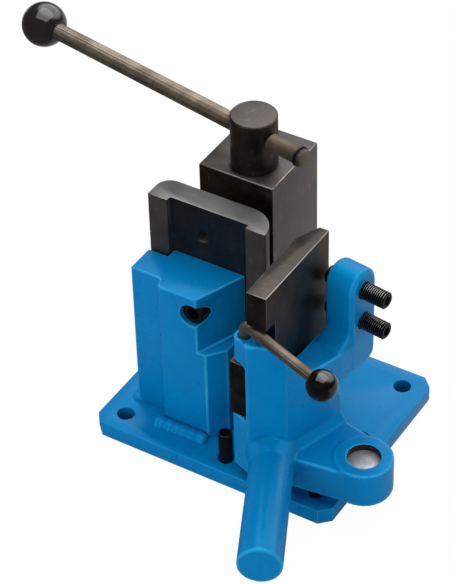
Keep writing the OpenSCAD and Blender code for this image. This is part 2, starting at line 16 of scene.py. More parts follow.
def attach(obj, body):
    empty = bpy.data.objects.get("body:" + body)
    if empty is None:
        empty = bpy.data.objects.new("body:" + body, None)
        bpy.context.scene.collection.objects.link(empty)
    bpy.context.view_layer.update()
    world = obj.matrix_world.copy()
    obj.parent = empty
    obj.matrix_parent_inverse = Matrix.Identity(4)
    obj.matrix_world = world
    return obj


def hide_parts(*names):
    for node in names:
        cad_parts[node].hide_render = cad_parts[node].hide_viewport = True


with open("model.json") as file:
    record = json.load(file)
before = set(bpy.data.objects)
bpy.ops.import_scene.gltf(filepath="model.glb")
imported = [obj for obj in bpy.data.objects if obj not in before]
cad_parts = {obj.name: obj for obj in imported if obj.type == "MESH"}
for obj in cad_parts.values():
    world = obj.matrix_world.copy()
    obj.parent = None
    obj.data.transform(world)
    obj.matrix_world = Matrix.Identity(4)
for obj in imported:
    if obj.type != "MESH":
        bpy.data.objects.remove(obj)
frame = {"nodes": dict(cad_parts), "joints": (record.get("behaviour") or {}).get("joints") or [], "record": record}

MM = 0.001
LOG = logging.getLogger("bender")
Pair = tuple[float, float]
Spot = tuple[float, float]
Point = tuple[float, float, float]
Colour = tuple[float, float, float]
WHITE = (1.0, 1.0, 1.0, 1.0)
# Name of the value that says how far a point of a casting or a bead stands out, which sets the enamel's painted
# highlight and painted shade.
RIDGE = "ridge"
# Material place of a piece's second finish, such as that of its broken edges.
SECOND = 1
# Centre of the lug in plan, in mm.
LUG: Spot = (142.3, -67.6)
JOINTS = {joint["name"]: joint for joint in frame["joints"]}


def hinge_at(name: str) -> Spot:
    """Where an upright hinge of the frame stands in plan, in mm."""
    x, y, _ = JOINTS[name]["pos_m"]
    return x / MM, y / MM


def slide_way(name: str) -> Point:
    """The direction of a slide of the frame."""
    return tuple(JOINTS[name]["axis"])


class Body(Enum):
    """The moving bodies of the frame."""

    BASE = "base"
    CLAMP = "clamp"
    ECCENTRIC = "eccentric"
    LEVER = "lever"
    ARM = "arm"
    JAW = "jaw"
    JAW_SCREWS = "jaw_screws"
    JAW_LOCK = "jaw_lock"


class Slot(Enum):
    """The material slots of the record."""

    BLUE = "blue_paint"
    BLACK = "black_steel"
    BRIGHT = "bright_steel"
    ROD = "rod_steel"
    BRONZE = "bronze"
    PLASTIC = "black_plastic"


class Way(Enum):
    """The directions in which chosen faces look."""

    UP = (0.0, 0.0, 1.0)
    RIGHT = (1.0, 0.0, 0.0)
    FRONT = (0.0, -1.0, 0.0)


@dataclass
class Socket:
    """An output of a shader node that takes plain arithmetic."""

    tree: "ShaderTree"
    out: bpy.types.NodeSocket | None

    def _math(self, operation: str, first: "Socket | float", second: "Socket | float") -> "Socket":
        """Joins two values by one Math node."""
        return self.tree.make("Math", {0: first, 1: second}, operation=operation)

    def __add__(self, other: "Socket | float") -> "Socket":
        """Sum."""
        return self._math("ADD", self, other)

    def __sub__(self, other: "Socket | float") -> "Socket":
        """Difference."""
        return self._math("SUBTRACT", self, other)

    def __rsub__(self, other: float) -> "Socket":
        """Difference from a number."""
        return self._math("SUBTRACT", other, self)

    def __mul__(self, other: "Socket | float") -> "Socket":
        """Product."""
        return self._math("MULTIPLY", self, other)

    __radd__ = __add__
    __rmul__ = __mul__

    def max(self, other: "Socket | float") -> "Socket":
        """The larger of two values."""
        return self._math("MAXIMUM", self, other)

    def sine(self) -> "Socket":
        """Sine of the value."""
        return self._math("SINE", self, 0.0)

    def step(self, low: float, high: float) -> "Socket":
        """Smooth step of the value, from 0 at the low end to 1 at the high end."""
        sockets = {"Value": self, "From Min": low, "From Max": high}
        return self.tree.make("MapRange", sockets, interpolation_type="SMOOTHSTEP")


@dataclass(frozen=True)
class Grain:
    """A noise: its grain in mm, its octaves, the ends of its contrast and its stretch."""

    size: float
    detail: float = 3.0
    low: float = 0.0
    high: float = 1.0
    stretch: Point = (1.0, 1.0, 1.0)


@dataclass(frozen=True)
class Relief:
    """A bump: what a height of 1 is, in mm, and how far it shows."""

    depth: float
    strength: float


class ShaderTree:
    """The node tree of one material or of the world."""

    def __init__(self, owner: bpy.types.Material | bpy.types.World) -> None:
        """Takes the tree of a material or world and empties it.

        Args:
            owner: The material or world.
        """
        owner.use_nodes = True
        self.nodes = owner.node_tree
        self.nodes.nodes.clear()

    def make(self, kind: str, sockets: dict, out: str | int = 0, **settings: str) -> Socket:
        """Adds one node, sets it up and joins its inputs.

        Args:
            kind: The shader node's type.
            sockets: Values or sockets for its inputs, by name or place.
            out: The output that is wanted, by name or place.
            settings: Properties of the node, set first.

        Returns:
            That output.
        """
        node = self.nodes.nodes.new(f"ShaderNode{kind}")
        for name, value in settings.items():
            setattr(node, name, value)
        for name, value in sockets.items():
            if isinstance(value, Socket):
                self.nodes.links.new(value.out, node.inputs[name])
            else:
                node.inputs[name].default_value = value
        return Socket(self, node.outputs[out] if node.outputs else None)

    def place(self, scale: Point = (1.0, 1.0, 1.0), shift: Point = (0.0, 0.0, 0.0)) -> Socket:
        """Object coordinates, stretched and shifted.

        Args:
            scale: Scale of each axis.
            shift: What is added first, in metres.

        Returns:
            The coordinates.
        """
        at = self.make("TexCoord", {}, "Object")
        moved = self.make("VectorMath", {0: at, 1: shift}, operation="ADD")
        return self.make("VectorMath", {0: moved, 1: scale}, operation="MULTIPLY")

    def noise(self, grain: Grain) -> Socket:
        """Plain noise, from 0 to 1.

        Args:
            grain: The noise that is wanted.

        Returns:
            The noise.
        """
        at = self.place(grain.stretch)
        sockets = {"Vector": at, "Scale": 1.0 / (grain.size * MM), "Detail": grain.detail}
        return self.make("TexNoise", sockets)

    def mask(self, grain: Grain) -> Socket:
        """Noise that is stepped between the ends of its contrast."""
        return self.noise(grain).step(grain.low, grain.high)

    def blend(self, factor: Socket, first: "Socket | Colour", second: "Socket | Colour") -> Socket:
        """Mixes two colours: the first at a factor of 0, the second at 1."""
        ends = [end if isinstance(end, Socket) else (*end, 1.0) for end in (first, second)]
        return self.make("Mix", {0: factor, 6: ends[0], 7: ends[1]}, 2, data_type="RGBA")

    def bump(self, height: Socket, relief: Relief, under: Socket | None = None) -> Socket:
        """A bumped normal.

        Args:
            height: The height, from 0 to 1.
            relief: Its depth and strength.
            under: The normal that it is laid on, or None for that of the mesh.

        Returns:
            The normal.
        """
        sockets = {"Height": height, "Distance": relief.depth * MM, "Strength": relief.strength}
        if under is not None:
            sockets["Normal"] = under
        return self.make("Bump", sockets)

    def finish(self, sockets: dict) -> None:
        """Ends a material in one principled shader with these inputs."""
        shader = self.make("BsdfPrincipled", sockets)
        self.make("OutputMaterial", {"Surface": shader})


@dataclass(frozen=True)
class Finish:
    """What all finishes share."""

    name: str
    slot: ClassVar[Slot]

    def fill(self, tree: ShaderTree) -> None:
        """Builds the finish's nodes in a tree."""
        raise NotImplementedError

    def material(self) -> bpy.types.Material:
        """The finish's material, made at its first use.

        Returns:
            The material.
        """
        made = bpy.data.materials.get(self.name)
        if made is None:
            made = bpy.data.materials.new(self.name)
            self.fill(ShaderTree(made))
        return made


@dataclass(frozen=True)
class Enamel(Finish):
    """Gloss enamel with orange peel and slow waves in its thickness."""

    slot: ClassVar[Slot] = Slot.BLUE
    body: Colour = (0.0002, 0.158, 0.405)
    thin: Colour = (0.0008, 0.182, 0.445)
    # A painted highlight where the piece's points stand out and painted shade where they sink.
    ridge: Colour = (0.016, 0.275, 0.560)
    painted_hollow_shade: Colour = (0.0004, 0.105, 0.290)
    paints_ridge_light: bool = False
    painted_highlight_span: Pair = (0.58, 1.0)
    painted_shade_span: Pair = (0.0, 0.42)
    cloud: Grain = Grain(45.0, 3.0, 0.35, 0.7)
    cloud_share: float = 0.45
    fleck: Grain = Grain(5.0, 4.0, 0.45, 0.8)
    fleck_share: float = 0.2
    wave: Grain = Grain(14.0, 2.0)
    wave_relief: Relief = Relief(0.06, 0.6)
    peel: Grain = Grain(1.6, 2.0)
    peel_relief: Relief = Relief(0.006, 0.7)
    haze: Grain = Grain(14.0, 3.0)
    rough: float = 0.22
    rough_spread: float = 0.14
    reflection: float = 0.4
    tint: Colour = (0.04, 0.7, 1.0)

    def fill(self, tree: ShaderTree) -> None:
        """Builds the enamel's nodes, with a painted highlight where the piece's points stand out and painted shade
        where they sink.

        Args:
            tree: The material's tree.
        """
        thinned = tree.mask(self.cloud) * self.cloud_share + tree.mask(self.fleck) * self.fleck_share
        colour = tree.blend(thinned, self.body, self.thin)
        # Painted highlight on ridges and painted shade in hollows.
        if self.paints_ridge_light:
            stand = tree.make("Attribute", {}, "Fac", attribute_name=RIDGE)
            colour = tree.blend(stand.step(*self.painted_highlight_span), colour, self.ridge)
            colour = tree.blend(1.0 - stand.step(*self.painted_shade_span), colour, self.painted_hollow_shade)
        slow = tree.bump(tree.noise(self.wave), self.wave_relief)
        tree.finish({
            "Base Color": colour,
            "Roughness": self.rough + self.rough_spread * tree.noise(self.haze),
            "Normal": tree.bump(tree.noise(self.peel), self.peel_relief, slow),
            "Specular IOR Level": self.reflection,
            "Specular Tint": (*self.tint, 1.0),
        })


@dataclass(frozen=True)
class BlackenedSteel(Finish):
    """Heat blackened tool steel with brown clouds, rubbed spots and fine scratches."""

    slot: ClassVar[Slot] = Slot.BLACK
    dark: Colour = (0.026, 0.0215, 0.0205)
    brown: Colour = (0.074, 0.057, 0.047)
    rubbed: Colour = (0.22, 0.19, 0.165)
    rough: float = 0.38
    rub: float = 0.8
    metal: float = 0.9
    smear: float = 0.0
    smear_tone: Colour = (0.46, 0.25, 0.17)
    cloud: Grain = Grain(26.0, 4.0, 0.3, 0.72)
    cloud_rough: float = 0.14
    spots: Grain = Grain(7.0, 5.0, 0.58, 0.82)
    spot_share: float = 0.5
    along: Grain = Grain(6.0, 3.0, 0.6, 0.78, (6.0, 6.0, 0.35))
    across: Grain = Grain(5.0, 2.0, 0.64, 0.8, (0.3, 5.0, 6.0))
    line_share: float = 0.35
    line_gloss: float = 0.1
    wiped: Grain = Grain(16.0, 5.0, 0.6, 0.74, (1.0, 2.2, 0.8))
    grit: Grain = Grain(0.7, 2.0)
    heights: tuple[float, ...] = (0.5, 0.3, 0.2)
    relief: Relief = Relief(0.05, 0.6)

    def fill(self, tree: ShaderTree) -> None:
        """Builds the steel's nodes.

        Args:
            tree: The material's tree.
        """
        cloud = tree.mask(self.cloud)
        spots = tree.mask(self.spots)
        lines = tree.mask(self.along).max(tree.mask(self.across))
        colour = tree.blend(cloud, self.dark, self.brown)
        worn = (spots * self.spot_share + lines * self.line_share) * self.rub
        colour = tree.blend(worn, colour, self.rubbed)
        if self.smear:
            colour = tree.blend(tree.mask(self.wiped) * self.smear, colour, self.smear_tone)
        grit_high, line_high, spot_high = self.heights
        height = tree.noise(self.grit) * grit_high + lines * line_high + spots * spot_high
        tree.finish({
            "Base Color": colour,
            "Metallic": self.metal,
            "Roughness": self.rough + self.cloud_rough * cloud - self.line_gloss * lines,
            "Normal": tree.bump(height, self.relief),
        })


@dataclass(frozen=True)
class TurnedSteel(Finish):
    """Bright steel with turning marks round an upright axis."""

    slot: ClassVar[Slot] = Slot.BRIGHT
    bright: Colour = (0.36, 0.358, 0.363)
    dull: Colour = (0.225, 0.223, 0.224)
    centre: Spot = (0.0, 0.0)
    pitch: float = 0.9
    metal: float = 1.0
    stain: Grain = Grain(6.0, 3.0, 0.4, 0.75)
    stain_share: float = 0.6
    stain_rough: float = 0.14
    ring_share: float = 0.25
    ring_relief: Relief = Relief(0.012, 0.4)
    rough: float = 0.42

    def fill(self, tree: ShaderTree) -> None:
        """Builds the steel's nodes.

        Args:
            tree: The material's tree.
        """
        flat = tree.place((1.0, 1.0, 0.0), (-self.centre[0] * MM, -self.centre[1] * MM, 0.0))
        reach = tree.make("VectorMath", {0: flat}, "Value", operation="LENGTH")
        rings = (reach * (2.0 * math.pi / (self.pitch * MM))).sine() * 0.5 + 0.5
        stain = tree.mask(self.stain)
        dulled = stain * self.stain_share + rings * self.ring_share
        tree.finish({
            "Base Color": tree.blend(dulled, self.bright, self.dull),
            "Metallic": self.metal,
            "Roughness": self.rough + self.stain_rough * stain,
            "Normal": tree.bump(rings, self.ring_relief),
        })


@dataclass(frozen=True)
class DrawnRod(Finish):
    """Drawn steel bar with a brown cast and streaks along it."""

    slot: ClassVar[Slot] = Slot.ROD
    pale: Colour = (0.226, 0.187, 0.145)
    brown: Colour = (0.120, 0.095, 0.070)
    worn: Colour = (0.36, 0.315, 0.25)
    streak: Grain = Grain(6.0, 4.0, stretch=(0.2, 5.0, 5.0))
    streak_share: float = 0.35
    streak_relief: Relief = Relief(0.03, 0.4)
    cloud: Grain = Grain(20.0, 3.0)
    cloud_share: float = 0.75
    cloud_rough: float = 0.2
    brown_span: Pair = (0.35, 0.75)
    spots: Grain = Grain(3.0, 4.0, 0.6, 0.85)
    spot_share: float = 0.35
    metal: float = 0.8
    rough: float = 0.42

    def fill(self, tree: ShaderTree) -> None:
        """Builds the steel's nodes.

        Args:
            tree: The material's tree.
        """
        streak = tree.noise(self.streak)
        cloud = tree.noise(self.cloud)
        browned = (streak * self.streak_share + cloud * self.cloud_share).step(*self.brown_span)
        colour = tree.blend(browned, self.pale, self.brown)
        tree.finish({
            "Base Color": tree.blend(tree.mask(self.spots) * self.spot_share, colour, self.worn),
            "Metallic": self.metal,
            "Roughness": self.rough + self.cloud_rough * cloud,
            "Normal": tree.bump(streak, self.streak_relief),
        })


@dataclass(frozen=True)
class Patched(Finish):
    """A plain surface with patches of a second tone and a fine grain."""

    tone: Colour
    second: Colour
    patch: Grain
    patch_rough: float
    grit: Grain
    relief: Relief
    rough: float
    metal: float = 0.0
    reflection: float = 0.5
    coat: float = 0.0
    coat_rough: float = 0.03
    coat_ior: float = 1.5

    def fill(self, tree: ShaderTree) -> None:
        """Builds the surface's nodes.

        Args:
            tree: The material's tree.
        """
        patch = tree.mask(self.patch)
        tree.finish({
            "Base Color": tree.blend(patch, self.tone, self.second),
            "Metallic": self.metal,
            "Roughness": self.rough + self.patch_rough * patch,
            "Normal": tree.bump(tree.noise(self.grit), self.relief),
            "Specular IOR Level": self.reflection,
            "Coat Roughness": self.coat_rough,
            "Coat IOR": self.coat_ior,
            "Coat Weight": self.coat,
        })


class Bronze(Patched):
    """Plain bearing bronze with dull patches."""

    slot = Slot.BRONZE


class BlackGloss(Patched):
    """Polished black thermoset with faint handling marks."""

    slot = Slot.PLASTIC


BLUE = Enamel("Blue_enamel")
# Lighter enamel for the broken edges: a painted highlight along them.
BLUE_EDGE_HIGHLIGHT = Enamel("Blue_enamel_edge_painted_highlight", body=(0.012, 0.245, 0.520), thin=(0.050, 0.340, 0.620))
# Thick casting enamel, with a painted highlight on its ridges and painted shade in its hollows.
BLUE_THICK = Enamel(
    "Blue_enamel_thick", paints_ridge_light=True,
    wave=Grain(6.0, 2.0), wave_relief=Relief(0.5, 0.6), peel_relief=Relief(0.015, 0.7),
)
# Bead enamel, with a painted highlight on the ripples and painted shade between them.
BLUE_BEAD = Enamel("Blue_enamel_bead", paints_ridge_light=True)
BLACK = BlackenedSteel("Blackened_steel")
OXIDE = BlackenedSteel("Oxide_screw", (0.014, 0.0130, 0.0128), (0.040, 0.036, 0.033), rough=0.34)
# A lighter copy of the blackened steel for faces that look up: painted light on the tops.
TOP_LIT_STEEL = BlackenedSteel(
    "Steel_top_painted_light", (0.066, 0.061, 0.060), (0.098, 0.085, 0.077), (0.21, 0.19, 0.175), rough=0.46
)
# A much lighter copy of the blackened steel for faces that look right: painted light on that side, with brown
# smears.
RIGHT_LIT_STEEL = BlackenedSteel(
    "Steel_right_painted_light", (0.150, 0.144, 0.144), (0.215, 0.194, 0.184), (0.34, 0.255, 0.205),
    rough=0.46, metal=1.0, smear=0.45,
)
DIE = BlackenedSteel(
    "Die_steel", (0.041, 0.036, 0.033), (0.066, 0.059, 0.054), (0.18, 0.17, 0.16),
    rough=0.42, metal=0.4,
)
# A lighter copy of the die's steel for its top: painted light.
DIE_TOP_LIT = BlackenedSteel(
    "Die_top_painted_light", (0.090, 0.091, 0.094), (0.114, 0.112, 0.113), (0.20, 0.19, 0.18),
    rough=0.36, metal=0.45,
)
# A darker, more mirror-like copy of the die's steel for its recessed front: painted shade.
DIE_POCKET_SHADE = BlackenedSteel(
    "Die_pocket_painted_shade", (0.032, 0.029, 0.027), (0.052, 0.046, 0.042), (0.13, 0.12, 0.11),
    rough=0.45, metal=0.85,
)
JAW_TOP = BlackenedSteel(
    "Jaw_top_steel", (0.036, 0.032, 0.030), (0.060, 0.050, 0.043), (0.19, 0.165, 0.145), rough=0.36
)
EDGE = BlackenedSteel(
    "Worn_edge", (0.15, 0.14, 0.132), (0.24, 0.215, 0.195), (0.42, 0.40, 0.38),
    rough=0.3, rub=1.0, metal=1.0,
)
# Light steel on the thread crests: a painted highlight.
CREST_HIGHLIGHT = BlackenedSteel("Thread_crest_painted_highlight", (0.215, 0.203, 0.192), (0.30, 0.28, 0.26), rough=0.32, metal=1.0)
TURNED = TurnedSteel("Turned_steel", centre=LUG, metal=0.5)
BRIGHT = TurnedSteel("Bright_steel", centre=hinge_at("arm_swing"))
ROD = DrawnRod("Drawn_rod")
BRONZE = Bronze(
    "Bearing_bronze", tone=(0.52, 0.33, 0.12), second=(0.30, 0.20, 0.09),
    patch=Grain(8.0, 3.0, 0.35, 0.7), patch_rough=0.2, grit=Grain(0.8), relief=Relief(0.04, 0.5),
    rough=0.3, metal=1.0,
)
GLOSS = BlackGloss(
    "Black_gloss", tone=(0.0125, 0.0108, 0.0104), second=(0.021, 0.0185, 0.018),
    patch=Grain(9.0, 4.0, 0.5, 0.8), patch_rough=0.06, grit=Grain(2.5, 2.0), relief=Relief(0.01, 0.3),
    rough=0.06, reflection=0.25, coat=1.0, coat_ior=1.45,
)
GLOSS_DEEP = replace(
    GLOSS, name="Black_gloss_deep", tone=(0.0020, 0.0019, 0.0019), second=(0.0050, 0.0047, 0.0047)
)
# Sides in plain enamel, broken edges in the lighter one with its painted highlight.
PAINT = (BLUE, BLUE_EDGE_HIGHLIGHT)
# All faces that look up.
TOP = (Way.UP, math.inf)
# The finish of each slot's CAD nodes.
PLAIN = {finish.slot: finish for finish in (BLUE, BLACK, BRIGHT, ROD, BRONZE, GLOSS)}


def link(name: str, data: bpy.types.ID) -> bpy.types.Object:
    """A new object in the scene.

    Args:
        name: Its name.
        data: Its mesh, lamp or camera.

    Returns:
        The object.
    """
    made = bpy.data.objects.new(name, data)
    bpy.context.scene.collection.objects.link(made)
    return made


def along(start: Sequence[float], direction: Sequence[float]) -> Matrix:
    """A frame with its origin at a start in mm and its upright axis along a direction."""
    turn = Vector(direction).to_track_quat("Z", "Y").to_matrix().to_4x4()
    return Matrix.Translation(Vector(start) * MM) @ turn


def plan(middle: Sequence[float], run: Vector) -> Matrix:
    """A frame with its origin at a middle in mm, turned in plan to lie along a run."""
    turn = Matrix.Rotation(math.atan2(run.y, run.x), 4, "Z")
    return Matrix.Translation(Vector(middle) * MM) @ turn


class Piece:
    """A mesh object, with the modelling steps that the pieces share."""

    # Points closer than this many mm are merged.
    GAP = 0.002

    def __init__(self, name: str, made: bpy.types.Object | None = None) -> None:
        """Takes an object and names it and its mesh.

        Args:
            name: The piece's name.
            made: The object, or None for the active one.
        """
        self.made = bpy.context.active_object if made is None else made
        self.made.name = name
        self.mesh.name = name

    @property
    def mesh(self) -> bpy.types.Mesh:
        """The object's mesh."""
        return self.made.data

    @staticmethod
    def clear() -> None:
        """Deselects everything."""
        if bpy.context.object and bpy.context.object.mode != "OBJECT":
            bpy.ops.object.mode_set(mode="OBJECT")
        bpy.ops.object.select_all(action="DESELECT")

    def focus(self) -> None:
        """Leaves only this piece selected and active."""
        Piece.clear()
        self.made.select_set(True)
        bpy.context.view_layer.objects.active = self.made

    @contextmanager
    def editing(self) -> Iterator[None]:
        """Opens the piece for editing with all of it selected, and closes it again."""
        self.focus()
        bpy.ops.object.mode_set(mode="EDIT")
        bpy.ops.mesh.select_all(action="SELECT")
        yield
        bpy.ops.object.mode_set(mode="OBJECT")

    def copied(self, name: str) -> "Piece":
        """A copy of the piece under another name."""
        return Piece(name, link(name, self.mesh.copy()))

    def settle(self, place: Matrix) -> None:
        """Moves the piece from the origin to its place and leaves that in its mesh.

        Args:
            place: Where it goes.
        """
        self.focus()
        self.made.matrix_world = place
        bpy.ops.object.transform_apply(location=True, rotation=True, scale=True)

    def weld(self) -> None:
        """Merges points that nearly meet and turns the normals outward."""
        with self.editing():
            bpy.ops.mesh.remove_doubles(threshold=self.GAP * MM)
            bpy.ops.mesh.normals_make_consistent(inside=False)

    def modify(self, kind: str, **settings: object) -> None:
        """Adds a modifier, sets it up and applies it.

        Args:
            kind: The modifier's type.
            settings: Its properties.
        """
        modifier = self.made.modifiers.new(kind, kind)
        for name, value in settings.items():
            setattr(modifier, name, value)
        self.focus()
        bpy.ops.object.modifier_apply(modifier=modifier.name)

    def smooth(self, angle: float = 32.0) -> None:
        """Shades the piece smooth, apart from edges that turn by more degrees than the angle."""
        self.focus()
        bpy.ops.object.shade_smooth_by_angle(angle=math.radians(angle))

    @classmethod
    def joined(cls, name: str, pieces: "Sequence[Piece]") -> "Piece":
        """Joins pieces into the first of them.

        Args:
            name: Name of the whole.
            pieces: The pieces.

        Returns:
            The whole.
        """
        pieces[0].focus()
        for piece in pieces[1:]:
            piece.made.select_set(True)
        if len(pieces) > 1:
            bpy.ops.object.join()
        return cls(name)

    @classmethod
    def traced(cls, name: str, *nodes: str) -> "Piece":
        """A merged copy of one or more CAD nodes as a new piece.

        Args:
            name: The piece's name.
            nodes: The nodes to copy.

        Returns:
            The piece.
        """
        copies = []
        for node in nodes:
            mesh = frame["nodes"][node].data.copy()
            mesh.materials.clear()
            copies.append(cls(name, link(name, mesh)))
        piece = cls.joined(name, copies)
        piece.weld()
        return piece

    @classmethod
    def slab(cls, name: str, size: Point, place: Matrix) -> "Piece":
        """A block with flat sides.

        Args:
            name: Its name.
            size: Its sides in mm.
            place: Where its middle goes.

        Returns:
            The block.
        """
        cls.clear()
        bpy.ops.mesh.primitive_cube_add(size=1.0)
        piece = cls(name)
        piece.settle(place @ Matrix.Diagonal((*(side * MM for side in size), 1.0)))
        return piece

    @classmethod
    def lathe(cls, name: str, outline: Sequence[Spot], place: Matrix, steps: int = 64) -> "Piece":
        """Turns an outline round an axis.

        Args:
            name: The piece's name.
            outline: Radius and height of each corner in mm, from the first end to the last.
            place: Turns the upright axis to where the piece lies.
            steps: Steps of the full turn.

        Returns:
            The piece.
        """
        cls.clear()
        bpy.ops.mesh.primitive_plane_add(size=2.0 * MM)
        piece = cls(name)
        with piece.editing():
            bpy.ops.mesh.merge(type="CENTER")
            radius, height = outline[0]
            bpy.ops.transform.translate(value=(radius * MM, 0.0, height * MM))
            for (r0, z0), (r1, z1) in zip(outline, outline[1:]):
                move = ((r1 - r0) * MM, 0.0, (z1 - z0) * MM)
                bpy.ops.mesh.extrude_region_move(TRANSFORM_OT_translate={"value": move})
            bpy.ops.mesh.select_all(action="SELECT")
            bpy.ops.mesh.spin(steps=steps, angle=2.0 * math.pi, center=(0.0, 0.0, 0.0), axis=Way.UP.value)
        piece.weld()
        piece.settle(place)
        return piece

    def mark_ridges(self, full: float, rounds: int = 3) -> None:
        """Stores for each point of an even mesh how far it stands out from its neighbours.

        Args:
            full: Height over the neighbours, in mm, that counts as a full ridge.
            rounds: How often the values are spread to the neighbours.
        """
        mesh = self.mesh
        count = len(mesh.vertices)
        place = np.empty(count * 3)
        normal = np.empty(count * 3)
        ends = np.empty(len(mesh.edges) * 2, dtype=np.int32)
        mesh.vertices.foreach_get("co", place)
        mesh.vertices.foreach_get("normal", normal)
        mesh.edges.foreach_get("vertices", ends)
        first, second = ends[0::2], ends[1::2]
        number = np.bincount(first, minlength=count) + np.bincount(second, minlength=count)

        def spread(values: np.ndarray) -> np.ndarray:
            """The mean of each point's neighbours."""
            total = np.bincount(first, values[second], count)
            return (total + np.bincount(second, values[first], count)) / np.maximum(number, 1)

        height = np.zeros(count)
        for axis in range(3):
            height += (place[axis::3] - spread(place[axis::3])) * normal[axis::3]
        for _ in range(rounds):
            height = 0.5 * (height + spread(height))
        stand = mesh.attributes.new(RIDGE, "FLOAT", "POINT")
        stand.data.foreach_set("value", np.clip(0.5 + 0.5 * height / (full * MM), 0.0, 1.0))

    def cast(self, grain: float, rounds: int, keep: Callable[[Vector], float] | None = None) -> None:
        """Turns a sharp, closed piece into a softened casting.

        Args:
            grain: Size of the new mesh's faces in mm.
            rounds: How often the mesh is smoothed.
            keep: Gives each point the share of the smoothing it takes, or None for all.
        """
        self.modify("REMESH", mode="VOXEL", voxel_size=grain * MM)
        only = {}
        if keep is not None:
            group = self.made.vertex_groups.new(name="soft")
            for point in self.mesh.vertices:
                group.add([point.index], keep(point.co / MM), "REPLACE")
            only["vertex_group"] = "soft"
        self.modify("SMOOTH", factor=0.5, iterations=rounds, **only)
        bpy.ops.object.shade_smooth()

    def dress(self, body: Body, *finishes: Finish, stands_for: Sequence[str] = ()) -> None:
        """Gives the piece its finishes and its body and reports it.

        Args:
            body: The body it moves with.
            finishes: Its finishes, the main one first.
            stands_for: The CAD nodes that it replaces.
        """
        faces = self.mesh.polygons
        places = [min(face.material_index, len(finishes) - 1) for face in faces]
        self.mesh.materials.clear()
        for finish in finishes:
            self.mesh.materials.append(finish.material())
        faces.foreach_set("material_index", places)
        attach(self.made, body.value)
        if stands_for:
            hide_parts(*stands_for)
        LOG.info("%s: %d faces, rides on %s", self.made.name, len(faces), body.value)


@dataclass(frozen=True)
class Follower:
    """A piece that follows one CAD node and stands for it.

    Its finishes are those of its sides, of its broken edges and of each set of chosen faces. The edge is
    its broken edges' width in mm, 0 for none. Chosen faces look one way and lie below a limit along it.
    """

    name: str
    node: str
    body: Body
    finishes: tuple[Finish, ...]
    edge: float = 0.0
    faces: tuple[tuple[Way, float], ...] = ()
    segments: int = 2
    clamp: bool = True
    flat_angle: float = 0.4
    sharp_angle: float = 40.0
    facing: float = 0.95

    def break_edges(self, piece: Piece) -> None:
        """Merges the faces that lie in one plane and breaks the sharp edges.

        Args:
            piece: The piece.
        """
        with piece.editing():
            bpy.ops.mesh.dissolve_limited(angle_limit=math.radians(self.flat_angle))
        while len(piece.mesh.materials) <= SECOND:
            piece.mesh.materials.append(None)
        piece.modify(
            "BEVEL",
            width=self.edge * MM,
            segments=self.segments,
            limit_method="ANGLE",
            angle_limit=math.radians(self.sharp_angle),
            loop_slide=False,
            use_clamp_overlap=self.clamp,
            material=SECOND,
        )

    def choose_faces(self, piece: Piece) -> None:
        """Gives each set of chosen faces a material place of its own.

        Args:
            piece: The piece.
        """
        for place, (way, under) in enumerate(self.faces, SECOND + 1):
            axis = Vector(way.value)
            for face in piece.mesh.polygons:
                if face.center.dot(axis) < under * MM and face.normal.dot(axis) > self.facing:
                    face.material_index = place

    def build(self) -> None:
        """Builds the piece and dresses it."""
        piece = Piece.traced(self.name, self.node)
        if self.edge:
            self.break_edges(piece)
        self.choose_faces(piece)
        piece.smooth()
        piece.dress(self.body, *self.finishes, stands_for=[self.node])


@dataclass(frozen=True)
class Ball:
    """A turned ball with a flat at its neck, its sizes in mm."""

    radius: float
    neck: float
    steps: int
    rim: float = 0.6
    round_steps: int = 40
    sharp: float = 40.0

    def turned(self, name: str, place: Matrix) -> Piece:
        """The ball as a piece.

        Args:
            name: Its name.
            place: Turns the upright axis to where the ball lies.

        Returns:
            The piece.
        """
        low = -math.acos(self.neck / self.radius)
        foot = self.radius * math.sin(low)
        corners = [(0.0, foot), (self.neck - self.rim, foot)]
        for k in range(self.round_steps):
            turn = low + (math.pi / 2.0 - low) * k / self.round_steps
            corners.append((self.radius * math.cos(turn), self.radius * math.sin(turn)))
        piece = Piece.lathe(name, [*corners, (0.0, self.radius)], place, self.steps)
        piece.smooth(self.sharp)
        return piece


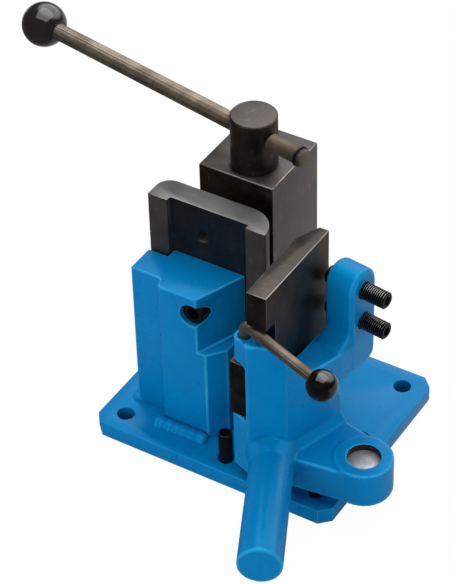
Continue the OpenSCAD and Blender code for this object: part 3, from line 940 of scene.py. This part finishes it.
@dataclass
class Stand:
    """The welded stand: base plate, upright, pedestal, stop pin and weld beads."""

    plates: tuple[Follower, ...] = (
        # Enamelled plates; their broken edges carry a painted highlight.
        Follower("Base_plate_painted", "base_plate", Body.BASE, PAINT, edge=1.0, segments=3),
        Follower("Upright_painted", "upright", Body.BASE, PAINT, edge=1.4, segments=3, clamp=False),
        Follower("Clamp_pedestal_painted", "clamp_pedestal", Body.BASE, PAINT, edge=1.0, segments=3),
    )
    pin: Spot = (9.0, -84.0)
    pin_r: float = 6.5
    pin_foot: float = 15.0
    pin_top: float = 47.0
    pin_rim: float = 0.6
    pin_bore_r: float = 4.9
    pin_bore_deep: float = 18.0
    bead_r: float = 7.0
    bead_shape: tuple[float, ...] = (0.7, 1.0, 0.85)
    bead_step: float = 1.7
    # How far ripples sway in mm and swell as a share, each with its turn from ripple to ripple.
    bead_sways: tuple[Pair, Pair] = ((0.12, 2.4), (0.1, 5.1))
    bead_swell: Pair = (0.035, 1.3)
    bead_grain: float = 0.55
    bead_rounds: int = 16
    # Height over the neighbours in mm that takes the full painted highlight on a bead.
    bead_ridge: float = 0.03
    bead_paths: tuple[tuple[Point, Point], ...] = (
        ((-67.5, -75.5, 17.2), (-21.5, -75.5, 17.2)),
        ((-103.0, -56.0, 16.4), (-103.0, -36.0, 16.4)),
    )

    def stop(self) -> None:
        """Hollow stop pin with a rounded rim."""
        r, bore, rim = self.pin_r, self.pin_bore_r, self.pin_rim
        high = self.pin_top - self.pin_foot
        deep = high - self.pin_bore_deep
        outline = [(0.0, 0.0), (r, 0.0), (r, high - rim), (r - rim / 3, high - rim / 4), (r - rim, high)]
        outline += [(bore + rim / 2, high), (bore, high - rim / 2), (bore, deep), (0.0, deep)]
        place = along((*self.pin, self.pin_foot), Way.UP.value)
        piece = Piece.lathe("Stop_pin_turned", outline, place)
        piece.smooth()
        piece.dress(Body.BASE, OXIDE, stands_for=["stop_pin"])

    def ripples(self, ripple: Piece, start: Vector, end: Vector) -> list[Piece]:
        """The ripples of one bead.

        Args:
            ripple: A single ripple at the origin.
            start: Where the bead starts, in mm.
            end: Where it ends.

        Returns:
            The ripples.
        """
        run = end - start
        side = Vector((-run.y, run.x, 0.0)).normalized()
        count = int(run.length / self.bead_step)
        swell, beat = self.bead_swell
        copies = []
        for k in range(count + 1):
            sway = sum(far * math.sin(k * turn) for far, turn in self.bead_sways)
            size = Matrix.Scale(1.0 + swell * math.sin(k * beat), 4)
            copy = ripple.copied("Ripple")
            copy.mesh.transform(plan(start + run * (k / count) + side * sway, run) @ size)
            copies.append(copy)
        return copies

    def beads(self) -> None:
        """Weld beads at the foot of the upright, ripple by ripple."""
        Piece.clear()
        bpy.ops.mesh.primitive_uv_sphere_add(segments=24, ring_count=16, radius=self.bead_r * MM)
        ripple = Piece("Ripple")
        with ripple.editing():
            bpy.ops.transform.resize(value=self.bead_shape)
        copies = []
        for start, end in self.bead_paths:
            copies += self.ripples(ripple, Vector(start), Vector(end))
        bpy.data.objects.remove(ripple.made)
        piece = Piece.joined("Weld_beads", copies)
        piece.cast(self.bead_grain, self.bead_rounds)
        # Sets where the enamel paints a highlight on the ripples and shade between them.
        piece.mark_ridges(self.bead_ridge)
        piece.dress(Body.BASE, BLUE_BEAD)

    def build(self) -> None:
        """Builds the stand in order."""
        for plate in self.plates:
            plate.build()
        self.stop()
        self.beads()


@dataclass
class Die:
    """The radius die on the upright, with worn edges, painted light on its top and painted shade in its pocket."""

    # The top takes painted light and the recessed front faces painted shade.
    piece: Follower = Follower(
        "Radius_die_blackened", "radius_die", Body.BASE, (DIE, EDGE, DIE_TOP_LIT, DIE_POCKET_SHADE),
        edge=0.9, faces=(TOP, (Way.FRONT, 22.0)),
    )

    def build(self) -> None:
        """Builds the die."""
        self.piece.build()


@dataclass
class Clamp:
    """Clamp block, eccentric shaft and its ball lever."""

    # The block's tops and right faces take lighter copies of its steel: painted light.
    block: Follower = Follower(
        "Clamp_block_blackened", "clamp_block", Body.CLAMP, (BLACK, EDGE, TOP_LIT_STEEL, RIGHT_LIT_STEEL),
        edge=1.0, faces=(TOP, (Way.RIGHT, math.inf)),
    )
    # The head's top takes the lighter copy: painted light.
    head: Follower = Follower(
        "Eccentric_shaft_turned", "eccentric_shaft", Body.ECCENTRIC, (BLACK, EDGE, TOP_LIT_STEEL),
        edge=1.2, faces=(TOP,),
    )
    rod: Follower = Follower("Lever_rod_drawn", "clamp_lever", Body.LEVER, (ROD,))
    ring: Follower = Follower("Lever_ring_turned", "lever_end_ring", Body.LEVER, (BLACK,))
    shaft: Spot = hinge_at("clamp_lever_turn")
    lever_z: float = 278.0
    lever_way: Point = slide_way("clamp_lever_slide")
    ball_at: float = 265.0
    ball: Ball = Ball(radius=21.5, neck=9.5, steps=96)

    def build(self) -> None:
        """Builds the clamp in order, the ball last."""
        for follower in (self.block, self.head, self.rod, self.ring):
            follower.build()
        middle = Vector((*self.shaft, self.lever_z)) + Vector(self.lever_way) * self.ball_at
        piece = self.ball.turned("Lever_ball_gloss", along(middle, self.lever_way))
        piece.dress(Body.LEVER, GLOSS, stands_for=["lever_ball"])


@dataclass
class Arm:
    """The cast arm with its handle, and the pin in its lug."""

    pin: Follower = Follower("Lug_pin_turned", "lug_pin", Body.ARM, (TURNED,))
    grain: float = 1.3
    rounds: int = 4
    # Height over the neighbours in mm that takes the full painted highlight.
    ridge: float = 0.13
    fillet_side: float = 10.0
    fillet_lap: float = 3.0
    fillet_z: float = 66.0
    fillet_corners: tuple[Spot, ...] = ((77.0, -94.0), (79.0, -93.0), (86.0, -75.0), (99.0, -32.6))
    lug: Spot = LUG
    lug_r: float = 15.0
    lug_top: float = 68.0
    lug_rim: float = 2.5
    lug_share: float = 0.35
    bare_out: float = 1.0
    bare_drop: float = 0.4
    seat_low: Point = (39.0, -104.0, 91.0)
    seat_high: Point = (70.0, -46.0, 99.5)
    seat_room: float = 0.4
    jaw_axis: Spot = hinge_at("jaw_adjust")
    jaw_turns: tuple[float, ...] = (-1.5, 0.0, 1.5)
    fill_ends: tuple[Spot, Spot] = ((103.3, -12.0), (99.3, -33.0))
    fill_deep: float = 6.0
    fill_heights: Pair = (110.0, 140.0)
    # Y and Z of the edge that is rounded.
    heel: Spot = (12.9, 109.3)
    heel_r: float = 13.0
    heel_foot: float = 2.0

    def in_seat(self, point: Vector) -> bool:
        """Whether a point in mm lies in the jaw's seat."""
        return all(low < at < high for low, at, high in zip(self.seat_low, point, self.seat_high))

    def from_lug(self, point: Vector) -> float:
        """How far a point in mm lies from the lug's axis."""
        return math.hypot(point.x - self.lug[0], point.y - self.lug[1])

    def share(self, point: Vector) -> float:
        """A point's share of the smoothing: less at the lug's bore and none in the jaw's seat."""
        near = self.lug_share if self.from_lug(point) < self.lug_r + self.lug_rim else 1.0
        return 0.0 if self.in_seat(point) else near

    def fillets(self) -> list[Piece]:
        """Square bars set on edge that fill the corner between lug plate and tower.

        Returns:
            The bars.
        """
        bars = []
        on_edge = Matrix.Rotation(math.pi / 4.0, 4, "X")
        for start, end in zip(self.fillet_corners, self.fillet_corners[1:]):
            run = Vector(end) - Vector(start)
            middle = (Vector(start) + Vector(end)) / 2.0
            size = (run.length + self.fillet_lap, self.fillet_side, self.fillet_side)
            bars.append(Piece.slab("Fillet", size, plan((*middle, self.fillet_z), run) @ on_edge))
        return bars

    def filling(self) -> Piece:
        """A thin slab that evens the wall below the lobe.

        Returns:
            The slab.
        """
        start, end = (Vector(corner) for corner in self.fill_ends)
        run = end - start
        low, high = self.fill_heights
        middle = (start + end) / 2.0 + Vector((run.y, -run.x)).normalized() * self.fill_deep / 2.0
        place = plan((*middle, (low + high) / 2.0), run)
        return Piece.slab("Filling", (run.length, self.fill_deep, high - low), place)

    def clear_seat(self, piece: Piece) -> None:
        """Keeps the seat clear of the jaw through its travel.

        Args:
            piece: The casting.
        """
        seat = [point.index for point in piece.mesh.vertices if self.in_seat(point.co / MM)]
        piece.made.vertex_groups.new(name="seat").add(seat, 1.0, "REPLACE")
        axis = Vector((*self.jaw_axis, 0.0)) * MM
        for turn in self.jaw_turns:
            jaw = Piece.traced("Jaw_room", "bending_jaw")
            swing = Matrix.Rotation(math.radians(turn), 4, "Z")
            jaw.settle(Matrix.Translation(axis) @ swing @ Matrix.Translation(-axis))
            piece.modify(
                "SHRINKWRAP",
                target=jaw.made,
                wrap_method="NEAREST_SURFACEPOINT",
                wrap_mode="OUTSIDE",
                offset=self.seat_room * MM,
                vertex_group="seat",
            )
            bpy.data.objects.remove(jaw.made)

    def round_heel(self, piece: Piece) -> None:
        """Rounds the low far edge of the wall that the set screws pass.

        Args:
            piece: The casting.
        """
        hub = Vector((self.heel[0] - self.heel_r, self.heel[1] + self.heel_r)) * MM
        foot = (self.heel[1] - self.heel_foot) * MM
        for point in piece.mesh.vertices:
            out = point.co.yz - hub
            if out.x > 0.0 > out.y and point.co.z > foot:
                out *= max(out.x, -out.y) / out.length
                point.co.yz = hub + out

    def bare_bore(self, piece: Piece) -> None:
        """Leaves the lug's bore without paint.

        Args:
            piece: The casting.
        """
        for face in piece.mesh.polygons:
            at = face.center / MM
            if self.from_lug(at) < self.lug_r + self.bare_out and at.z < self.lug_top - self.bare_drop:
                face.material_index = SECOND

    def casting(self) -> None:
        """Arm and handle in one softened casting."""
        arm = Piece.traced("Arm_cast", "bending_arm", "handle_bar")
        piece = Piece.joined("Arm_cast", [arm, *self.fillets(), self.filling()])
        piece.cast(self.grain, self.rounds, self.share)
        self.round_heel(piece)
        self.clear_seat(piece)
        # Sets where the enamel paints a highlight on ridges and shade in hollows.
        piece.mark_ridges(self.ridge)
        self.bare_bore(piece)
        piece.dress(Body.ARM, BLUE_THICK, BLACK, stands_for=["bending_arm", "handle_bar"])

    def build(self) -> None:
        """Builds the casting and its pin."""
        self.casting()
        self.pin.build()


@dataclass
class Jaw:
    """The bending jaw, its set screws and its lock lever."""

    jaw: Follower = Follower(
        "Bending_jaw_blackened", "bending_jaw", Body.JAW, (BLACK, EDGE, JAW_TOP),
        edge=0.9, faces=(TOP,),
    )
    lever: Follower = Follower("Lock_lever_bent", "lock_lever", Body.JAW_LOCK, (ROD,))
    pivot: Spot = hinge_at("arm_swing")
    screw_way: Point = slide_way("jaw_screw_feed")
    screw_out: float = 47.6
    screw_side: float = 5.5
    screw_length: float = 64.0
    screw_heights: Pair = (194.5, 160.0)
    screw_steps: int = 48
    screw_sharp: float = 25.0
    crest_r: float = 7.95
    crest_band: float = 0.25
    root_r: float = 6.6
    pitch: float = 2.0
    # Where a crest starts and ends and its flank ends, as shares of the pitch.
    flanks: tuple[float, ...] = (0.36, 0.60, 0.96)
    chamfer: float = 1.0
    thread_from: float = 1.2
    thread_end: float = 1.6
    # Both ends of the plain collar, measured from the screw's end.
    collar: Pair = (1.5, 1.2)
    socket_width: float = 8.0
    socket_deep: float = 9.0
    knob: Ball = Ball(radius=14.0, neck=6.0, steps=80)
    knob_at: Point = (132.9, -126.2, 194.0)
    lever_turn: float = -19.9

    def thread(self) -> list[Spot]:
        """Outline of a set screw with thread crests and a chamfered end.

        Returns:
            Radius and height of each corner.
        """
        root, crest, length = self.root_r, self.crest_r, self.screw_length
        rise, fall, foot = (share * self.pitch for share in self.flanks)
        outline = [(0.0, 0.0), (root - self.chamfer, 0.0), (root, self.chamfer)]
        at = self.thread_from
        while at + self.pitch < length - self.thread_end:
            outline += [(root, at), (crest, at + rise), (crest, at + fall), (root, at + foot)]
            at += self.pitch
        outline += [(crest, length - drop) for drop in self.collar]
        return outline + [(root, length), (0.0, length)]

    def cut_socket(self, screw: Piece, place: Matrix) -> None:
        """Cuts the hexagon socket into a screw's end.

        Args:
            screw: The screw.
            place: The screw's frame.
        """
        Piece.clear()
        radius = self.socket_width / math.sqrt(3.0) * MM
        bpy.ops.mesh.primitive_cylinder_add(vertices=6, radius=radius, depth=2.0 * self.socket_deep * MM)
        cutter = Piece("Socket_cutter")
        cutter.settle(place @ Matrix.Translation((0.0, 0.0, self.screw_length * MM)))
        screw.modify("BOOLEAN", operation="DIFFERENCE", solver="EXACT", object=cutter.made)
        bpy.data.objects.remove(cutter.made)
        screw.weld()

    def screws(self) -> None:
        """Two set screws with hexagon sockets, the second a copy of the first."""
        way = Vector(self.screw_way)
        side = Vector((-way.y, way.x, 0.0))
        high, low = self.screw_heights
        start = Vector((*self.pivot, high)) + way * self.screw_out + side * self.screw_side
        place = along(start, way)
        upper = Piece.lathe("Jaw_screw_upper_threaded", self.thread(), place, self.screw_steps)
        self.cut_socket(upper, place)
        # Faces on the thread crests take the light steel: a painted highlight.
        for face in upper.mesh.polygons:
            reach = (face.center - place.translation).cross(way).length
            if reach > (self.crest_r - self.crest_band) * MM:
                face.material_index = SECOND
        lower = upper.copied("Jaw_screw_lower_threaded")
        lower.settle(Matrix.Translation((0.0, 0.0, (low - high) * MM)))
        for piece, node in ((upper, "jaw_screw_upper"), (lower, "jaw_screw_lower")):
            piece.smooth(self.screw_sharp)
            piece.dress(Body.JAW_SCREWS, OXIDE, CREST_HIGHLIGHT, stands_for=[node])

    def ball(self) -> None:
        """Ball knob at the end of the lock lever."""
        turn = math.radians(self.lever_turn)
        place = along(self.knob_at, (math.cos(turn), math.sin(turn), 0.0))
        piece = self.knob.turned("Lock_knob_gloss", place)
        piece.dress(Body.JAW_LOCK, GLOSS_DEEP, stands_for=["lock_knob"])

    def build(self) -> None:
        """Builds the jaw in order."""
        self.jaw.build()
        self.screws()
        self.lever.build()
        self.ball()


class CarriedNodes:
    """The CAD nodes, each in the finish of its slot."""

    def build(self) -> None:
        """Dresses each node by its slot in the record."""
        for subpart in frame["record"]["subparts"]:
            node = frame["nodes"][subpart["node"]]
            finish = PLAIN[Slot(subpart["material_slot"])]
            node.data.materials.clear()
            node.data.materials.append(finish.material())
            LOG.info("%s: %s", subpart["node"], finish.name)


@dataclass(frozen=True)
class Lamp:
    """A square lamp: its place, aim and side in mm, its power in watts and whether steel mirrors it."""

    name: str
    at: Point
    aim: Point
    side: float
    power: float
    mirrored: bool = False


@dataclass(frozen=True)
class Surround:
    """Surroundings that get brighter in one direction, from one level to another between two ends."""

    way: Point
    ends: Pair
    levels: Pair


@dataclass
class Studio:
    """Floor, light and camera."""

    eye: Point = (857.06, -1401.20, 1529.62)
    # Degrees to the left of +Y, below the horizon and about the line of sight.
    heading: float = 32.6051
    tilt: float = 40.0619
    roll: float = -1.7661
    lens: float = 98.245
    sensor: float = 24.0
    clip: Pair = (0.05, 200.0)
    floor_side: float = 60.0
    floor_drop: float = 0.2
    floor_tone: Colour = (0.86, 0.865, 0.87)
    floor_veil: float = 0.97
    floor_round: Surround = Surround((0.35, 0.94, 0.0), (-0.12, 0.15), (0.035, 0.45))
    under: Pair = (113.0, 92.0)
    under_full: float = 0.97
    # Painted shade on the floor under the base plate, seen through the plate's holes.
    under_plate_shade: Colour = (0.10, 0.12, 0.14)
    sky: float = 0.19
    sky_round: Surround = Surround((0.1, 0.6, 0.8), (0.6, 0.86), (0.045, 2.2))
    lamps: tuple[Lamp, ...] = (
        Lamp("Top", (0.0, 100.0, 1750.0), (0.0, 100.0, 0.0), 2000.0, 26.0, True),
        Lamp("Back", (-900.0, 1750.0, 1750.0), (0.0, 0.0, 150.0), 1600.0, 27.0),
        Lamp("Front", (-100.0, -1900.0, 750.0), (0.0, 0.0, 120.0), 1300.0, 19.5),
        Lamp("Right", (1900.0, 250.0, 450.0), (0.0, 0.0, 120.0), 1100.0, 11.0),
        Lamp("Left", (-1700.0, -100.0, 600.0), (0.0, 0.0, 120.0), 900.0, 5.0),
    )

    def camera(self) -> None:
        """Camera at the photograph's viewpoint."""
        data = bpy.data.cameras.new("Camera")
        data.sensor_width = self.sensor
        data.lens = self.lens
        data.clip_start, data.clip_end = self.clip
        camera = link("Camera", data)
        place = Matrix.Translation(Vector(self.eye) * MM)
        for angle, axis in ((self.heading, "Z"), (90.0 - self.tilt, "X"), (self.roll, "Z")):
            place @= Matrix.Rotation(math.radians(angle), 4, axis)
        camera.matrix_world = place
        bpy.context.scene.camera = camera

    def shown(self, tree: ShaderTree, where: Socket, surround: Surround) -> tuple[Socket, Socket]:
        """How strongly the surroundings show to each ray.

        Steel shows a white panel high behind the object and a floor that is dimmer in front of it.

        Args:
            tree: The tree it is made in.
            where: A place or direction.
            surround: The surroundings.

        Returns:
            1 for rays that show the background, 0 for those that light the object, and the strength shown.
        """
        camera, glossy, through = (
            tree.make("LightPath", {}, name)
            for name in ("Is Camera Ray", "Is Glossy Ray", "Is Transmission Ray")
        )
        sockets = {0: where, 1: surround.way}
        side = tree.make("VectorMath", sockets, "Value", operation="DOT_PRODUCT")
        dim, bright = surround.levels
        room = dim + (bright - dim) * side.step(*surround.ends)
        return camera.max(glossy).max(through), camera + (1.0 - camera) * room

    def open_floor(self, tree: ShaderTree) -> Socket:
        """Where the floor isn't under the base plate.

        Args:
            tree: The floor's tree.

        Returns:
            0 under the plate and 1 beside it.
        """
        beside = []
        for name, side in zip(("X", "Y"), self.under):
            at = tree.make("SeparateXYZ", {0: tree.place()}, name)
            reach = (side * MM) ** 2
            beside.append((at * at).step(self.under_full * reach, reach))
        return beside[0].max(beside[1])

    def floor(self) -> None:
        """Pale floor that keeps a soft shadow, with painted shade under the base plate."""
        Piece.clear()
        bpy.ops.mesh.primitive_plane_add(size=self.floor_side)
        floor = Piece("Floor")
        floor.settle(Matrix.Translation((0.0, 0.0, -self.floor_drop * MM)))
        material = bpy.data.materials.new("Floor")
        tree = ShaderTree(material)
        seen, strength = self.shown(tree, tree.place(), self.floor_round)
        white = tree.make("Emission", {"Color": WHITE, "Strength": strength})
        beside = self.open_floor(tree)
        # Painted shade under the plate, pale floor beside it.
        tone = tree.blend(beside, self.under_plate_shade, self.floor_tone)
        matt = tree.make("BsdfDiffuse", {"Color": tone})
        veil = seen * beside * self.floor_veil
        mixed = tree.make("MixShader", {0: veil, 1: matt, 2: white})
        tree.make("OutputMaterial", {"Surface": mixed})
        floor.mesh.materials.append(material)

    def world(self) -> None:
        """White surroundings, with a low level of light from all sides."""
        world = bpy.data.worlds.new("Studio")
        bpy.context.scene.world = world
        tree = ShaderTree(world)
        way = tree.make("TexCoord", {}, "Generated")
        seen, strength = self.shown(tree, way, self.sky_round)
        level = seen * strength + (1.0 - seen) * self.sky
        back = tree.make("Background", {"Color": WHITE, "Strength": level})
        tree.make("OutputWorld", {"Surface": back})

    def light(self) -> None:
        """Soft lamps above and at all sides."""
        for lamp in self.lamps:
            data = bpy.data.lights.new(lamp.name, "AREA")
            data.size = lamp.side * MM
            data.energy = lamp.power
            made = link(lamp.name, data)
            way = (Vector(lamp.aim) - Vector(lamp.at)).to_track_quat("-Z", "Y").to_matrix().to_4x4()
            made.matrix_world = Matrix.Translation(Vector(lamp.at) * MM) @ way
            made.visible_glossy = lamp.mirrored

    def build(self) -> None:
        """Builds the studio in order."""
        bpy.context.scene.view_settings.view_transform = "Standard"
        self.camera()
        self.world()
        self.light()
        self.floor()


def main() -> None:
    """Builds the dressed model and its studio."""
    logging.basicConfig(level=logging.INFO, format="%(name)s %(message)s")
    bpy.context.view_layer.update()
    CarriedNodes().build()
    for part in (Stand(), Die(), Clamp(), Arm(), Jaw(), Studio()):
        part.build()


if __name__ == "__main__":
    main()
